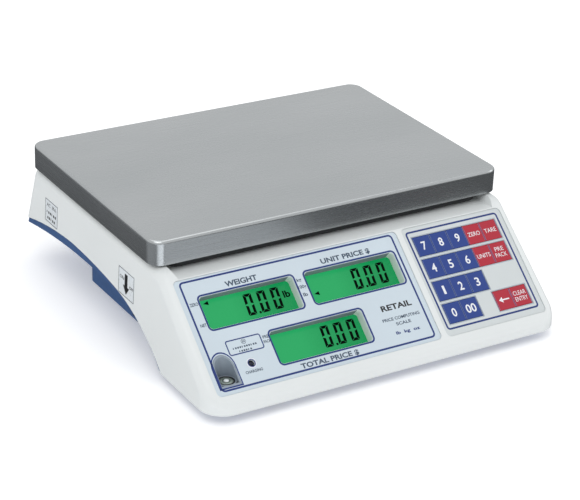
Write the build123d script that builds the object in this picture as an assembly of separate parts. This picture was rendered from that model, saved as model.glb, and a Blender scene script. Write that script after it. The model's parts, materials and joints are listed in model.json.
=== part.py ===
from build123d import *
from math import atan, cos, degrees, radians, sin, tan
import os

# Price-computing counter scale with a loose stainless platter on a single-point load cell.
# Row frame, millimetres: X to the right, Y to the back, Z up. The origin is on the table,
# under the middle of the footprint, and the sloping front panel faces -Y.

# ---- driving dimensions: overall ----------------------------------------------------------
TOP_Z = 110.0                   # weighing surface above the table
CASE_HALF_W = 161.0             # case half width at its lower edge
CASE_FRONT_Y = -165.0
CASE_BACK_Y = 165.0
CASE_BOTTOM_Z = 8.0             # white lower edge along the front
SIDE_DRAFT = 1.92               # degrees, the case narrows upwards
PLAN_CORNER_R = 20.0
EDGE_R = 8.0                    # rounding of the case's upper edges
WALL = 2.6
LOWER_WALL = 2.5
FIT_GAP = 0.3                   # between the two halves of the case

# ---- driving dimensions: platter and its carrier ------------------------------------------
PLATTER_W = 320.0
PLATTER_D = 220.0
PLATTER_Y = 40.5                # platter centre
PLATTER_RIM = 20.0
PLATTER_CORNER_R = 11.0
PLATTER_EDGE_R = 2.6
SHEET_T = 1.0
CARRIER_HALF_W = 143.0
CARRIER_FRONT_Y = -65.5
CARRIER_BACK_Y = 132.0
CARRIER_TOP_Z = 103.0
CARRIER_BOTTOM_Z = 84.6
CARRIER_WALL = 2.5

# ---- driving dimensions: deck, panel and back wall ----------------------------------------
DECK_Z = 83.0
SHOULDER_Z = 88.5
DECK_HALF_W = 145.0
DECK_BACK_Y = 134.0
PANEL_TILT = 39.74              # degrees from the horizontal
PANEL_Y0 = -61.49               # zero of the slope coordinate on the panel plane
PANEL_Z0 = 100.37
TOP_CREASE_R = 16.0
BACK_CREASE_R = 9.0
BACK_EDGE_Z = 36.5              # white lower edge along the back
BACK_TOP_Y = 149.0              # back wall at shoulder height

# ---- driving dimensions: sculpted lower edges, side view (Y, Z) ---------------------------
ARCH = [
    ((CASE_BACK_Y, BACK_EDGE_Z), (120.0, 45.9), (72.0, 50.4)),
    ((72.0, 50.4), (36.0, 49.3), (0.0, 46.0)),
    ((0.0, 46.0), (-46.5, 33.6), (-85.5, CASE_BOTTOM_Z)),
]
FLOOR_Z = 9.0                   # underside of the base at the front
BELLY = [
    ((CASE_BACK_Y, 32.4), (110.0, 40.3), (53.5, 43.7)),
    ((53.5, 43.7), (10.0, 42.6), (-33.0, 37.0)),
    ((-33.0, 37.0), (-60.0, 24.8), (-80.5, FLOOR_Z)),
]
SEAM_GAP = 0.8                  # shadow gap between white and blue
SPIGOT_RISE = 3.0               # base wall standing up inside the upper case
HULL_HALF_W = 146.0
HULL_BACK_Y = 68.5
HULL_FRONT_Y = -110.0
HULL_Z = 17.0

# ---- driving dimensions: panel fittings, (x, s) with s up the slope -----------------------
POCKET_DEPTH = 1.2
FILM_T = 0.5
POCKET_TOP_S = -27.9
POCKET_BOTTOM_S = -124.3
DISPLAY_POCKET = (-151.0, 49.0)
KEYPAD_POCKET = (54.0, 151.0)
POCKET_R = 4.0
FILM_GAP = 0.4
WELL_DEPTH = 9.5                # display glass below the panel surface
WELL_WALL = 1.6
WINDOWS = {
    "weight": (-135.2, -53.8, -71.4, -44.4),
    "unit_price": (-43.0, 39.4, -71.4, -44.4),
    "total_price": (-91.1, -9.1, -111.1, -84.1),
}
WINDOW_R = 3.0
GLASS_MARGIN = 1.5
GLASS_T = 2.4
BACKLIGHT_T = 3.5
BOARD_T = 1.6
LED_AT = (-114.5, -104.3)
LED_R = 2.4
GLASS_R = 1.0
REAR_WINDOW_X = (-92.0, 0.0, 92.0)
REAR_WINDOW_W = 76.0
REAR_WINDOW_H = 22.0
REAR_POCKET = (-142.0, 142.0, -17.0, 17.0)
REAR_POCKET_DEPTH = 0.8

KEY_X0 = 61.0
KEY_PITCH_X = 16.26
KEY_TOP_S = -37.0
KEY_PITCH_S = 20.05
KEY_H = 17.0
KEY_GAP = 0.3
KEY_T = 1.8
KEY_TOP_N = -0.6                # key face below the panel surface, just proud of the film
MAT_T = 1.0
KEY_ROWS = [
    ["7", "8", "9", "zero", "tare"],
    ["4", "5", "6", "units", "prepack"],
    ["1", "2", "3"],
    ["0", "00", None, "back", "clear"],
]

# ---- driving dimensions: level, switch, inlet, feet ---------------------------------------
LEVEL_X = -137.25
LEVEL_Y = -143.6
LEVEL_R = 6.9
LEVEL_TOP_Z = 24.7
LEVEL_H = 7.0
CUP_HALF_W = 8.75
CUP_FRONT_Y = -151.8
CUP_WALL = 1.2

SWITCH_Y = -23.0
SWITCH_Z = 28.6
SWITCH_TILT = 9.0               # degrees each way; the rocker is drawn switched off
SWITCH_HALF = (9.4, 5.9)        # half length and half height of the body in the wall
SWITCH_FLANGE = 1.5             # flange beyond the body on every side
SWITCH_DEPTH = 16.0
SWITCH_WALL = 0.9
TAB_L = 7.0
INLET_X = -105.0
INLET_Z = 30.4
INLET_HALF = (13.6, 9.9)        # half width and half height of the body in the wall
INLET_DEPTH = 18.0
INLET_WALL = 1.5
BLADES = [(-7.0, -1.8), (0.0, 2.2), (7.0, -1.8)]
FEET = {
    "front_left": (-120.0, -115.0, 24.0),
    "front_right": (120.0, -115.0, 24.0),
    "rear_left": (-95.0, 132.0, 42.0),
    "rear_right": (95.0, 132.0, 42.0),
}
FOOT_R = 12.0
FOOT_BOSS_R = 8.0
STUD_R = 3.9
PAD_H = 3.5                     # rubber pad under a foot's knob
KNOB_TOP_Z = 7.6

# ---- driving dimensions: load path and electrics ------------------------------------------
CELL_Y = 40.5
CELL_HALF_L = 65.0
CELL_W = 30.0
CELL_BOTTOM_Z = 44.0
CELL_TOP_Z = 66.0
FIXED_SCREWS_X = (-56.0, -39.0)
FREE_SCREWS_X = (38.0, 55.0)
CELL_SCREW_R = 3.0
STOPS = [(x, y) for x in (-118.0, 118.0) for y in (-45.0, 112.0)]
STOP_GAP = 0.8
STOP_HEAD_Z = DECK_Z + 2.2
PAD_SPOTS = [(x, y) for x in (-124.0, 124.0) for y in (-46.0, 112.0)]
PAD_R = 8.0
PAD_STEM_R = 3.0
HUB = (29.0, 64.0, 26.5, 54.5)  # carrier hub and spacer, seen from above
SPACER_TOP_Z = 79.0
BATTERY_BOX = (68.0, 138.0, -55.0, 45.0, 47.0)
CASE_SCREWS = [(-100.0, -155.2), (100.0, -155.2), (-150.2, 20.0), (150.2, 20.0),
               (-130.0, 110.0), (130.0, 110.0)]
DISPLAY_POSTS = [(-48.75, -58.0), (-120.0, -78.2), (20.0, -100.0), (-103.0, -97.0)]
KEYPAD_POSTS = [(52.0, -45.0), (52.0, -105.0), (149.2, -45.0), (149.2, -105.0)]
MAIN_POSTS = [(x, y) for x in (-105.0, 45.0) for y in (-72.0, -36.0)]
MAIN_BOARD_Z = 25.0
REAR_POSTS = [(x, 1.0) for x in (-48.0, 48.0)]
DISPLAY_BOARD_N = WELL_DEPTH + GLASS_T + BACKLIGHT_T    # depth of a board's front face
KEYPAD_BOARD_N = POCKET_DEPTH + 3.2
REAR_BOARD_N = WALL + GLASS_T + BACKLIGHT_T
PILOT_R = 1.1                   # holes for the tapping screws
CASE_SCREW_R = 1.5
CASE_SCREW_L = 9.0
COLUMN_LIFT = LOWER_WALL + 2.0  # screw columns end this far above the belly line
MAIN_BOARD = (-110.0, 50.0, -77.0, -31.0)
CHIPS = [                       # centre x and y, width, depth, height above the board
    (-60.0, -54.0, 24.0, 24.0, 2.4),
    (0.0, -50.0, 18.0, 10.0, 3.0),
    (25.0, -58.0, 16.0, 22.0, 12.0),
    (-90.0, -48.0, 20.0, 8.0, 9.0),
]
CAPACITORS = [(-30.0, -60.0), (-18.0, -60.0)]
CAPACITOR_R = 5.0
CAPACITOR_H = 14.0
CORE = (-118.0, -70.0, -22.0, -6.0)         # transformer, seen from above
CORE_H = 40.0
WINDING = (-110.0, -78.0, -27.0, -1.0)
CORE_FEET = (-128.0, -60.0, -19.0, -9.0)
DOOR_T = 1.5                    # battery door
DOOR_LIP = 7.0
DOOR_GAP = 0.3

REACH = 200.0                   # longer than the case, for cutting right through it
DEEP_DROP = 40.0                # lowers the sculpted edge clear of the base


# ---- shared geometry ----------------------------------------------------------------------
def panel_y(z):
    """Y of the sloping panel plane at height z."""
    return PANEL_Y0 + (z - PANEL_Z0) / tan(radians(PANEL_TILT))


PANEL = Plane(
    origin=(0, PANEL_Y0, PANEL_Z0),
    x_dir=(1, 0, 0),
    z_dir=(0, -sin(radians(PANEL_TILT)), cos(radians(PANEL_TILT))),
)
BACK_LEAN = degrees(atan((CASE_BACK_Y - BACK_TOP_Y) / (SHOULDER_Z - BACK_EDGE_Z)))
BACK_MID_Z = 63.0
BACK = Plane(
    origin=(0, CASE_BACK_Y - (BACK_MID_Z - BACK_EDGE_Z) * tan(radians(BACK_LEAN)), BACK_MID_Z),
    x_dir=(-1, 0, 0),
    z_dir=(0, cos(radians(BACK_LEAN)), sin(radians(BACK_LEAN))),
)


def slab(x0, x1, y0, y1, z0, z1, r=0.0):
    """Upright block between two corners, with its vertical edges rounded to r."""
    width, depth = x1 - x0, y1 - y0
    outline = RectangleRounded(width, depth, r) if r else Rectangle(width, depth)
    return Pos((x0 + x1) / 2, (y0 + y1) / 2, z0) * extrude(outline, z1 - z0)


def rod(x, y, z0, z1, r):
    """Upright cylinder."""
    return Pos(x, y, z0) * extrude(Circle(r), z1 - z0)


def on_panel(solid):
    """Moves a solid from panel coordinates (x, s, height above the surface) into place."""
    return PANEL * solid


def on_back(solid):
    return BACK * solid


def side_extrusion(curves):
    """Extrudes a closed outline in (Y, Z) right through the case along X."""
    outline = [edge for curve in curves for edge in curve.edges()]
    return extrude(Plane.YZ * make_face(outline), amount=REACH, both=True)


def arcs(spans, lift=0.0):
    """Three-point arcs through the given spans, raised by lift."""
    return [
        ThreePointArc(*[(y, z + lift) for y, z in span])
        for span in spans
    ]


def plan_prism(inset):
    """The case's plan with rounded front corners, drafted, open towards the back and top."""
    spread = CASE_BOTTOM_Z * tan(radians(SIDE_DRAFT))
    half_w = CASE_HALF_W - inset + spread
    front = CASE_FRONT_Y + inset - spread
    outline = RectangleRounded(2 * half_w, 2 * REACH, PLAN_CORNER_R - inset)
    return Pos(0, front + REACH, 0) * extrude(outline, amount=TOP_Z, taper=SIDE_DRAFT)


def upper_edges(solid):
    """The edges where the sides meet the panel, the shoulders and the back wall."""
    chosen = []
    for edge in solid.edges():
        middle = edge @ 0.5
        along = edge % 0.5
        steep = abs(along.Z) > 0.95
        on_top = middle.Z > 30 or (middle.Y < -90 and middle.Z > CASE_BOTTOM_Z + 3)
        at_side = abs(middle.X) > 100 or middle.Y < CASE_FRONT_Y + 6
        if on_top and at_side and not steep:
            chosen.append(edge)
    return chosen


def under_arch(drop):
    """Everything below the case's sculpted lower edge, with that edge lowered by drop."""
    back_z = BACK_EDGE_Z - drop
    front_z = CASE_BOTTOM_Z - drop
    return side_extrusion([
        *arcs(ARCH, -drop),
        Polyline((ARCH[-1][2][0], front_z), (-REACH, front_z), (-REACH, -REACH),
                 (REACH, -REACH), (REACH, back_z), (CASE_BACK_Y, back_z)),
    ])


def case_body(inset, drop=0.0):
    """Solid with the upper case's outside shape, shrunk by inset on every side."""
    corner_z = SHOULDER_Z - inset
    lean = tan(radians(BACK_LEAN))
    front_shift = inset / sin(radians(PANEL_TILT))
    back_shift = inset / cos(radians(BACK_LEAN))
    front_low = (panel_y(0) + front_shift, 0)
    front_high = (panel_y(corner_z) + front_shift, corner_z)
    back_high = (BACK_TOP_Y - back_shift + inset * lean, corner_z)
    back_low = (CASE_BACK_Y - back_shift + BACK_EDGE_Z * lean, 0)
    top = FilletPolyline(front_low, front_high, back_high, back_low,
                         radius=(TOP_CREASE_R - inset, BACK_CREASE_R - inset))
    body = side_extrusion([top, Line(back_low, front_low)]) & plan_prism(inset)
    return fillet(upper_edges(body), EDGE_R - inset) - under_arch(drop)


def deck_recess(grow):
    """Space above the deck, between the shoulders and open to the front."""
    half_w = DECK_HALF_W + grow
    front = panel_y(DECK_Z) - 40.0
    back = DECK_BACK_Y + grow
    rise = 20.0
    block = extrude(Rectangle(2 * half_w, back - front), amount=rise, taper=-30)
    return Pos(0, (front + back) / 2, DECK_Z - grow) * block


# ---- platter, its pads and carrier --------------------------------------------------------
def platter():
    def tray(inset):
        outline = RectangleRounded(PLATTER_W - 2 * inset, PLATTER_D - 2 * inset,
                                   PLATTER_CORNER_R - inset)
        block = extrude(outline, PLATTER_RIM - inset)
        return fillet(block.faces().sort_by(Axis.Z)[-1].edges(), PLATTER_EDGE_R - inset)

    shell = tray(0) - tray(SHEET_T)
    return Pos(0, PLATTER_Y, TOP_Z - PLATTER_RIM) * shell


def platter_pads():
    """Rubber buttons pressed into the carrier's top, which the platter rests on."""
    pads = []
    for x, y in PAD_SPOTS:
        button = rod(x, y, CARRIER_TOP_Z, TOP_Z - SHEET_T, PAD_R)
        stem = rod(x, y, CARRIER_TOP_Z - CARRIER_WALL - 1.0, CARRIER_TOP_Z, PAD_STEM_R)
        pads.append(button + stem)
    return Compound(children=pads)


def sub_platform():
    """Cast carrier: a ribbed tray turned upside down, with a hub to the load cell."""
    box = (-CARRIER_HALF_W, CARRIER_HALF_W, CARRIER_FRONT_Y, CARRIER_BACK_Y)
    inner = (box[0] + CARRIER_WALL, box[1] - CARRIER_WALL,
             box[2] + CARRIER_WALL, box[3] - CARRIER_WALL)
    body = slab(*box, CARRIER_BOTTOM_Z, CARRIER_TOP_Z, 10.0)
    body -= slab(*inner, CARRIER_BOTTOM_Z - 1, CARRIER_TOP_Z - CARRIER_WALL, 8.0)
    rib_z = (90.0, CARRIER_TOP_Z - 1)
    for y in (12.0, 69.0):
        body += slab(inner[0], inner[1], y - 1.5, y + 1.5, *rib_z)
    for x in (-70.0, 0.0, 90.0):
        body += slab(x - 1.5, x + 1.5, inner[2], inner[3], *rib_z)
    for x, y in STOPS:
        body += rod(x, y, STOP_HEAD_Z + STOP_GAP, CARRIER_TOP_Z - 1, 6.0)
    body += slab(*HUB, SPACER_TOP_Z, CARRIER_TOP_Z - 1, 4.0)
    for x in FREE_SCREWS_X:
        body -= rod(x, CELL_Y, 70, CARRIER_TOP_Z + 1, CELL_SCREW_R + 0.2)
        body -= rod(x, CELL_Y, 97.0, CARRIER_TOP_Z + 1, 5.4)
    for x, y in PAD_SPOTS:
        body -= rod(x, y, 90, CARRIER_TOP_Z + 1, PAD_STEM_R)
    return body


def cell_spacer():
    """Aluminium block between the load cell's free end and the carrier's hub."""
    block = slab(*HUB, CELL_TOP_Z, SPACER_TOP_Z, 2.0)
    for x in FREE_SCREWS_X:
        block -= rod(x, CELL_Y, CELL_TOP_Z - 1, SPACER_TOP_Z + 1, CELL_SCREW_R + 0.2)
    return block


def cap_screw(x, y, z_head, z_tip, head_up=True):
    """Socket-head screw on a vertical line; z_head is the underside of its head."""
    shank = rod(x, y, min(z_head, z_tip), max(z_head, z_tip), CELL_SCREW_R)
    if head_up:
        head = rod(x, y, z_head, z_head + 5.0, 5.0)
        socket = Pos(x, y, z_head + 2.5) * extrude(RegularPolygon(2.9, 6), 3.0)
    else:
        head = rod(x, y, z_head - 2.6, z_head, 5.0)
        socket = Pos(x, y, z_head - 3.0) * extrude(RegularPolygon(2.9, 6), 1.8)
    return shank + head - socket


def carrier_screws():
    return Compound(children=[cap_screw(x, CELL_Y, 97.0, 50.0) for x in FREE_SCREWS_X])


def pedestal_screws():
    return Compound(children=[
        cap_screw(x, CELL_Y, HULL_Z, 60.0, head_up=False) for x in FIXED_SCREWS_X
    ])


def load_cell():
    """Single-point bending beam with its flexure pocket bored through from the front."""
    beam = slab(-CELL_HALF_L, CELL_HALF_L, CELL_Y - CELL_W / 2, CELL_Y + CELL_W / 2,
                CELL_BOTTOM_Z, CELL_TOP_Z)
    mid_z = (CELL_BOTTOM_Z + CELL_TOP_Z) / 2
    for x in (-15.0, 15.0):
        hole = Plane.XZ * (Pos(x, mid_z) * Circle(8.4))
        beam -= Pos(0, CELL_Y, 0) * extrude(hole, CELL_W, both=True)
    slot = Plane.XZ * (Pos(0, mid_z) * Rectangle(30.0, 9.0))
    beam -= Pos(0, CELL_Y, 0) * extrude(slot, CELL_W, both=True)
    for x in FIXED_SCREWS_X + FREE_SCREWS_X:
        beam -= rod(x, CELL_Y, CELL_BOTTOM_Z - 1, CELL_TOP_Z + 1, CELL_SCREW_R + 0.1)
    return beam


def cell_pedestal():
    """Block that carries the load cell's fixed end above the base."""
    block = slab(-CELL_HALF_L, -30.0, CELL_Y - CELL_W / 2, CELL_Y + CELL_W / 2,
                 HULL_Z + LOWER_WALL, CELL_BOTTOM_Z, 2.0)
    for x in FIXED_SCREWS_X:
        block -= rod(x, CELL_Y, HULL_Z, CELL_BOTTOM_Z + 1, CELL_SCREW_R + 0.2)
    return block


def overload_stops():
    """Adjusting screws through the deck that catch the carrier's corners."""
    return Compound(children=[
        rod(x, y, DECK_Z, STOP_HEAD_Z, 4.5) + rod(x, y, DECK_Z - 12, DECK_Z, 2.5)
        for x, y in STOPS
    ])


# ---- upper case ---------------------------------------------------------------------------
def pocket(span, depth):
    """Shallow pocket in the panel that a printed film is stuck into."""
    x0, x1 = span
    return on_panel(slab(x0, x1, POCKET_BOTTOM_S, POCKET_TOP_S, -depth, 4.0, POCKET_R))


def window_block(name, grow, n0, n1, r=WINDOW_R):
    x0, x1, s0, s1 = WINDOWS[name]
    return on_panel(slab(x0 - grow, x1 + grow, s0 - grow, s1 + grow, n0, n1, r))


def level_outline(inset):
    """Arch-shaped plan of the level's cup: square in front, half round behind."""
    half_w = CUP_HALF_W - inset
    front = CUP_FRONT_Y + inset
    centre = panel_y(41.7) - CUP_HALF_W
    base = Pos(LEVEL_X, (front + centre) / 2) * Rectangle(2 * half_w, centre - front)
    return base + Pos(LEVEL_X, centre) * Circle(half_w)


def key_row_spans(row):
    """Runs of neighbouring keys in a row, as (first column, last column)."""
    spans = []
    for column, name in enumerate(row):
        if name is None:
            continue
        if spans and spans[-1][1] == column - 1:
            spans[-1][1] = column
        else:
            spans.append([column, column])
    return spans


def key_apertures(grow, n0, n1):
    """Blocks over each run of keys."""
    blocks = []
    for index, row in enumerate(KEY_ROWS):
        top = KEY_TOP_S - index * KEY_PITCH_S
        for first, last in key_row_spans(row):
            x0 = KEY_X0 + first * KEY_PITCH_X
            x1 = KEY_X0 + (last + 1) * KEY_PITCH_X
            block = slab(x0 - grow, x1 + grow, top - KEY_H - grow, top + grow, n0, n1)
            blocks.append(on_panel(block))
    return blocks


def upper_housing():
    """White case: panel, deck and skirts in one moulding, hollow and open below."""
    hollow = case_body(WALL) + case_body(WALL, drop=6.0)
    body = case_body(0) - deck_recess(0) - (hollow - deck_recess(WALL))

    for name in WINDOWS:
        body += window_block(name, WELL_WALL, -WELL_DEPTH, -POCKET_DEPTH)
    for x, s in DISPLAY_POSTS:
        body += on_panel(rod(x, s, -DISPLAY_BOARD_N, -WALL + 0.2, 3.0))
    for x, s in KEYPAD_POSTS:
        body += on_panel(rod(x, s, -KEYPAD_BOARD_N, -WALL + 0.2, 2.6))
    for x, z in REAR_POSTS:
        body += on_back(rod(x, z, -REAR_BOARD_N, -WALL + 0.2, 3.0))
    for x, y in CASE_SCREWS:
        body += rod(x, y, CASE_BOTTOM_Z, TOP_Z, 4.0) & hollow_columns()

    body -= pocket(DISPLAY_POCKET, POCKET_DEPTH)
    body -= pocket(KEYPAD_POCKET, POCKET_DEPTH)
    for name in WINDOWS:
        body -= window_block(name, 0, -10, 1)
    body -= on_panel(rod(*LED_AT, -4, 1, LED_R + 0.2))
    for block in key_apertures(FIT_GAP, -4, 1):
        body -= block
    cup_hole = extrude(level_outline(-FIT_GAP), 60.0)
    body -= Pos(0, 0, CASE_BOTTOM_Z + 6) * cup_hole
    for x, s in DISPLAY_POSTS:
        body -= on_panel(rod(x, s, -DISPLAY_BOARD_N - 1, -WALL, PILOT_R))
    for x, s in KEYPAD_POSTS:
        body -= on_panel(rod(x, s, -KEYPAD_BOARD_N - 1, -POCKET_DEPTH - 0.8, PILOT_R))
    for x, z in REAR_POSTS:
        body -= on_back(rod(x, z, -REAR_BOARD_N - 1, -WALL, PILOT_R))
    for x, y in CASE_SCREWS:
        tip = case_screw_seat(x, y) + CASE_SCREW_L
        body -= rod(x, y, CASE_BOTTOM_Z - 2, tip + 1, CASE_SCREW_R + 0.05)

    hub_x0, hub_x1, hub_y0, hub_y1 = HUB
    body -= slab(hub_x0 - 4, hub_x1 + 4, hub_y0 - 4, hub_y1 + 4, DECK_Z - 6, DECK_Z + 2, 6.0)
    for x, y in STOPS:
        body -= rod(x, y, DECK_Z - 6, DECK_Z + 1, 2.6)
    body -= on_back(slab(*REAR_POCKET, -REAR_POCKET_DEPTH, 4.0, 3.0))
    for x in REAR_WINDOW_X:
        body -= on_back(slab(x - REAR_WINDOW_W / 2, x + REAR_WINDOW_W / 2,
                             -REAR_WINDOW_H / 2, REAR_WINDOW_H / 2, -6, 2, 2.0))
    return body


def case_screw_seat(x, y):
    """Height of the base's underside at a case screw."""
    if y < -100:
        return FLOOR_Z
    return 42.9 if y < 60 else 40.3


def hollow_columns():
    """The space that the case's screw columns may fill: above the base, inside the case."""
    floor = side_extrusion([
        *arcs(BELLY, COLUMN_LIFT),
        Line((BELLY[-1][2][0], FLOOR_Z + COLUMN_LIFT), (CASE_FRONT_Y, FLOOR_Z + COLUMN_LIFT)),
        Line((CASE_FRONT_Y, FLOOR_Z + COLUMN_LIFT), (CASE_FRONT_Y, REACH)),
        Line((CASE_FRONT_Y, REACH), (CASE_BACK_Y, REACH)),
        Line((CASE_BACK_Y, REACH), (CASE_BACK_Y, BELLY[0][0][1] + COLUMN_LIFT)),
    ])
    return floor & (case_body(WALL / 2) - deck_recess(WALL / 2))


# ---- rear display -------------------------------------------------------------------------
def rear_film():
    """Printed film around the customer's displays."""
    x0, x1, s0, s1 = REAR_POCKET
    film = slab(x0 + FILM_GAP, x1 - FILM_GAP, s0 + FILM_GAP, s1 - FILM_GAP,
                -REAR_POCKET_DEPTH, FILM_T - REAR_POCKET_DEPTH, 2.6)
    for x in REAR_WINDOW_X:
        film -= slab(x - REAR_WINDOW_W / 2 + 1, x + REAR_WINDOW_W / 2 - 1,
                     1 - REAR_WINDOW_H / 2, REAR_WINDOW_H / 2 - 1, -2, 1, 1.5)
    return on_back(film)


def rear_displays():
    """Three customer displays: glass and backlight laminated in one stack each."""
    half_w = REAR_WINDOW_W / 2 + 3
    half_h = REAR_WINDOW_H / 2 + 3
    return Compound(children=[
        on_back(slab(x - half_w, x + half_w, -half_h, half_h, -REAR_BOARD_N, -WALL))
        for x in REAR_WINDOW_X
    ])


def rear_board():
    board = slab(-136, 136, -16, 16, -REAR_BOARD_N - BOARD_T, -REAR_BOARD_N)
    for x, z in REAR_POSTS:
        board -= rod(x, z, -REACH, 0, PILOT_R + 0.2)
    return on_back(board)


# ---- front panel --------------------------------------------------------------------------
def film_sheet(span):
    x0, x1 = span
    n0 = -POCKET_DEPTH
    return slab(x0 + FILM_GAP, x1 - FILM_GAP, POCKET_BOTTOM_S + FILM_GAP,
                POCKET_TOP_S - FILM_GAP, n0, n0 + FILM_T, POCKET_R - FILM_GAP)


def display_film():
    """Printed film around the vendor's displays, the level and the charging light."""
    film = on_panel(film_sheet(DISPLAY_POCKET))
    for name in WINDOWS:
        film -= window_block(name, 0.3, -10, 1)
    film -= on_panel(rod(*LED_AT, -4, 1, LED_R + 0.2))
    film -= Pos(0, 0, CASE_BOTTOM_Z) * extrude(level_outline(-FIT_GAP), 60.0)
    return film


def keypad_film():
    """Film frame around the keys."""
    film = on_panel(film_sheet(KEYPAD_POCKET))
    for block in key_apertures(FIT_GAP, -4, 1):
        film -= block
    return film


def key_cap(row, column):
    """Flat key, its face just proud of the film."""
    x0 = KEY_X0 + column * KEY_PITCH_X + KEY_GAP / 2
    x1 = x0 + KEY_PITCH_X - KEY_GAP
    top = KEY_TOP_S - row * KEY_PITCH_S
    cap = slab(x0, x1, top - KEY_H, top, KEY_TOP_N - KEY_T, KEY_TOP_N, 0.6)
    rim = cap.faces().sort_by(Axis.Z)[-1].edges()
    return on_panel(chamfer(rim, 0.15))


def key_mat():
    """Rubber mat behind the keys, with a rim that seals against the case."""
    x0, x1 = KEY_X0 - 3.5, KEY_X0 + 5 * KEY_PITCH_X + 3.5
    s1 = KEY_TOP_S + 3.5
    s0 = KEY_TOP_S - 3 * KEY_PITCH_S - KEY_H - 3.5
    mat = slab(x0, x1, s0, s1, -KEYPAD_BOARD_N, -WALL, 2.0)
    lip = 2.2
    return on_panel(mat - slab(x0 + lip, x1 - lip, s0 + lip, s1 - lip,
                               MAT_T - KEYPAD_BOARD_N, 0, 1.0))


def keypad_board():
    board = slab(49.5, 152.2, -118.5, -33.0, -KEYPAD_BOARD_N - BOARD_T, -KEYPAD_BOARD_N, 2.0)
    for x, s in KEYPAD_POSTS:
        board -= rod(x, s, -REACH, 0, PILOT_R + 0.2)
    return on_panel(board)


def display_glass(name):
    """One display: glass sandwich pressed up against its well."""
    return window_block(name, GLASS_MARGIN, -WELL_DEPTH - GLASS_T, -WELL_DEPTH, GLASS_R)


def backlights():
    low = -WELL_DEPTH - GLASS_T
    return Compound(children=[
        window_block(name, GLASS_MARGIN - 0.5, low - BACKLIGHT_T, low, GLASS_R) for name in WINDOWS
    ])


def display_board():
    board = slab(-142, 46, -116.5, -36.0, -DISPLAY_BOARD_N - BOARD_T, -DISPLAY_BOARD_N, 2.0)
    board -= slab(-150, -122, -125, -84, -REACH, 0)
    for x, s in DISPLAY_POSTS:
        board -= rod(x, s, -REACH, 0, PILOT_R + 0.2)
    return on_panel(board)


def tapping_screw(x, y, seat, length, upwards=True):
    """Pan-head screw on a vertical line, its head below the seat if it points upwards."""
    if upwards:
        return rod(x, y, seat - 1.5, seat, 2.4) + rod(x, y, seat, seat + length, 1.0)
    return rod(x, y, seat, seat + 1.5, 2.4) + rod(x, y, seat - length, seat, 1.0)


def tapping_screws():
    """Self-tapping screws that hold the circuit boards and the battery door."""
    screws = []
    for x, s in DISPLAY_POSTS:
        screws.append(on_panel(tapping_screw(x, s, -DISPLAY_BOARD_N - BOARD_T, 5.6)))
    for x, s in KEYPAD_POSTS:
        screws.append(on_panel(tapping_screw(x, s, -KEYPAD_BOARD_N - BOARD_T, 3.8)))
    for x, z in REAR_POSTS:
        screws.append(on_back(tapping_screw(x, z, -REAR_BOARD_N - BOARD_T, 5.6)))
    for x, y in MAIN_POSTS:
        screws.append(tapping_screw(x, y, MAIN_BOARD_Z + BOARD_T, 4.0, upwards=False))
    for x, y in door_screw_spots():
        screws.append(tapping_screw(x, y, HULL_Z, 6.0))
    return Compound(children=screws)


def charging_led():
    """Light-emitting diode standing on the display board behind its hole in the panel."""
    x, s = LED_AT
    body = rod(x, s, -DISPLAY_BOARD_N, -1.4, LED_R)
    return on_panel(fillet(body.faces().sort_by(Axis.Z)[-1].edges(), LED_R - 0.4))


def level_cup():
    """Grey cup below the arch-shaped opening, trimmed along the panel, with a seat for the vial."""
    seat_z = LEVEL_TOP_Z - LEVEL_H
    cup = extrude(level_outline(0), 50.0) - Pos(0, 0, CUP_WALL) * extrude(
        level_outline(CUP_WALL), 60.0)
    cup = Pos(0, 0, seat_z - CUP_WALL) * cup
    floor_ring = Pos(0, 0, seat_z) * extrude(level_outline(CUP_WALL), LEVEL_H - 2.0)
    floor_ring -= rod(LEVEL_X, LEVEL_Y, seat_z, LEVEL_TOP_Z, LEVEL_R)
    above = on_panel(slab(-REACH, REACH, -REACH, REACH, -POCKET_DEPTH + FILM_T, REACH))
    return cup + floor_ring - above


def level_vial():
    """Round bubble level, clear top with a domed inside."""
    body = rod(LEVEL_X, LEVEL_Y, LEVEL_TOP_Z - LEVEL_H, LEVEL_TOP_Z, LEVEL_R)
    return chamfer(body.faces().sort_by(Axis.Z)[-1].edges(), 0.4)


# ---- base ---------------------------------------------------------------------------------
def belly_block(lift, top_lift, inset, top_curve=True):
    """Solid inside the case between the belly line raised by lift and a roof line."""
    front_y = BELLY[-1][2][0]
    floor_z = FLOOR_Z + lift
    lower = arcs(BELLY, lift) + [Line((front_y, floor_z), (-REACH, floor_z))]
    back_low = (CASE_BACK_Y, BELLY[0][0][1] + lift)
    if top_curve:
        roof_z = CASE_BOTTOM_Z + top_lift
        front_top = (ARCH[-1][2][0], roof_z)
        roof = arcs(ARCH, top_lift)
        back_top = (CASE_BACK_Y, BACK_EDGE_Z + top_lift)
    else:
        roof_z = TOP_Z
        front_top = (CASE_BACK_Y, roof_z)
        roof = []
        back_top = (CASE_BACK_Y, roof_z)
    roof.append(Line(front_top, (-REACH, roof_z)))
    ends = [Line((-REACH, floor_z), (-REACH, roof_z)), Line(back_low, back_top)]
    return side_extrusion(lower + roof + ends) & case_body(inset, drop=DEEP_DROP)


def lip_block():
    """The visible blue lip: from the belly line up to just below the white edge."""
    region = side_extrusion([
        *arcs(ARCH, -SEAM_GAP),
        Line((ARCH[-1][2][0], CASE_BOTTOM_Z - SEAM_GAP), BELLY[-1][2]),
        *arcs(BELLY),
        Line(BELLY[0][0], (CASE_BACK_Y, BACK_EDGE_Z - SEAM_GAP)),
    ])
    return region & case_body(SEAM_GAP, drop=DEEP_DROP)


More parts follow.
